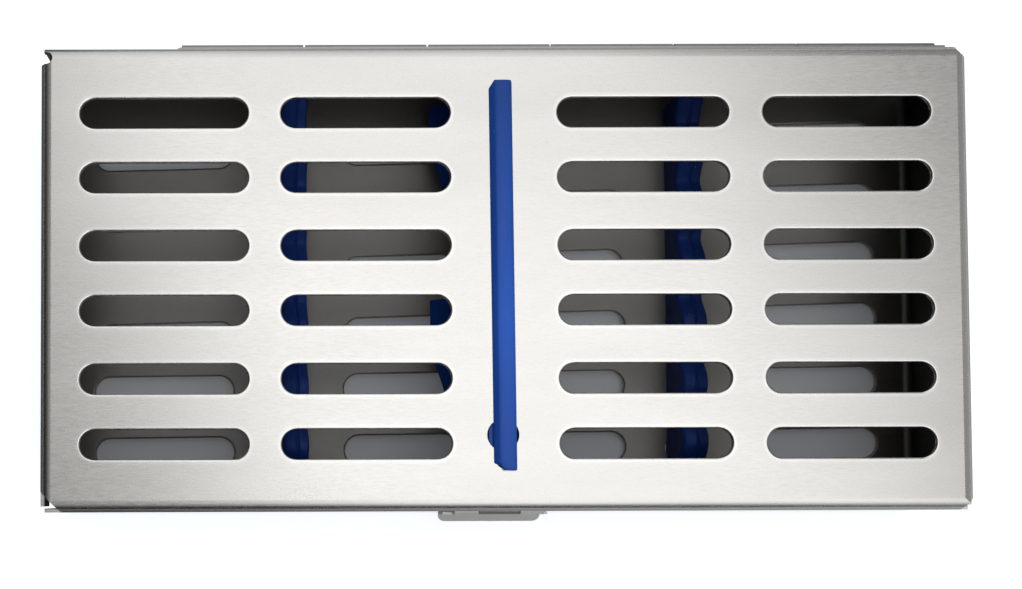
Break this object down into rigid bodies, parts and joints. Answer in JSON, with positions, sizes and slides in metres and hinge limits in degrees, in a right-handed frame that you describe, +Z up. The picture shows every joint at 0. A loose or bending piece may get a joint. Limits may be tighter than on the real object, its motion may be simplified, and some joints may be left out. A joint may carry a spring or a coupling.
{
  "type": "dental instrument cassette",
  "caption": "Slotted stainless steel cassette for hand instruments, with a hinged lid, a swinging front latch, notched blue silicone rails and a silicone hold-down strip.",
  "frame": {"origin": "middle of the closed cassette's bottom, level with the undersides of the two rails' beads", "axes": "+X along the length to the right as seen from the latch, +Y towards the rear hinge, +Z up through the lid"},
  "size_m": [0.1836, 0.097, 0.031],
  "materials": {
    "lid_steel": "brushed along the length",
    "tray_steel": "brushed along the length",
    "hinge_steel": "satin, rolled strip",
    "latch_steel": "satin, pressed sheet",
    "pin_steel": "drawn wire",
    "blue_silicone": "soft satin moulding"
  },
  "bodies": {
    "base": {"base_tray": "tray_steel", "hinge_leaf_base": "hinge_steel", "hinge_pin": "pin_steel", "rail_left": "blue_silicone", "rail_right": "blue_silicone"},
    "lid": {"lid_cover": "lid_steel", "hinge_leaf_lid": "hinge_steel", "hold_down_strip": "blue_silicone", "latch_bracket": "latch_steel", "latch_pin": "pin_steel"},
    "latch": {"latch_lever": "latch_steel"}
  },
  "joints": [
    {"name": "lid_hinge", "type": "hinge", "parent": "base", "child": "lid", "pos_m": [0, 0.0475, 0.0218], "axis": [-1, 0, 0], "range_deg": [0, 180]},
    {"name": "latch_hinge", "type": "hinge", "parent": "lid", "child": "latch", "pos_m": [0, -0.0456, 0.0223], "axis": [-1, 0, 0], "range_deg": [0, 110]}
  ]
}
